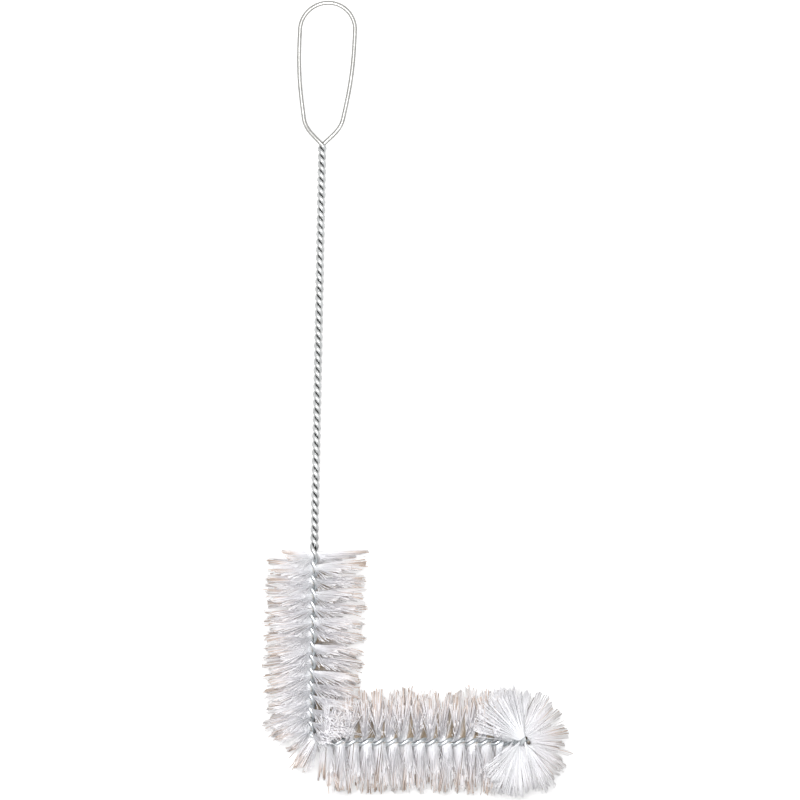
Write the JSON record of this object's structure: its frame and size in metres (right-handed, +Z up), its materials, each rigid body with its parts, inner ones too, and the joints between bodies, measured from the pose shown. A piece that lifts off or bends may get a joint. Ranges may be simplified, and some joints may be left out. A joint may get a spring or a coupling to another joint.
{
  "type": "bottle brush",
  "caption": "Bottle brush: a wire folded into a hanging loop and a twisted stem that grips nylon bristles, its bristled end bent into an L.",
  "frame": {"origin": "middle of the footprint, on the ground", "axes": "+Y along the stem towards the hanging loop, +X along the lower leg of the L towards the tip, +Z up from the ground the brush lies on"},
  "size_m": [0.1476, 0.3792, 0.0499],
  "materials": {
    "wire": "bright galvanised steel wire",
    "bristles": "translucent white nylon filament"
  },
  "bodies": {
    "root": {"loop_wire": "wire", "twisted_wire": "wire", "bristle_row_01": "bristles", "bristle_row_02": "bristles", "bristle_row_03": "bristles", "bristle_row_04": "bristles", "bristle_row_05": "bristles", "bristle_row_06": "bristles", "bristle_row_07": "bristles", "bristle_row_08": "bristles", "bristle_row_09": "bristles", "bristle_row_10": "bristles", "bristle_row_11": "bristles", "bristle_row_12": "bristles", "bristle_row_13": "bristles", "bristle_row_14": "bristles", "bristle_row_15": "bristles", "bristle_row_16": "bristles", "bristle_row_17": "bristles", "bristle_row_18": "bristles", "bristle_row_19": "bristles", "bristle_row_20": "bristles", "bristle_row_21": "bristles", "bristle_row_22": "bristles", "bristle_row_23": "bristles", "bristle_row_24": "bristles", "bristle_row_25": "bristles", "bristle_row_26": "bristles", "bristle_row_27": "bristles", "bristle_row_28": "bristles", "bristle_row_29": "bristles", "bristle_row_30": "bristles", "bristle_row_31": "bristles"}
  },
  "joints": []
}
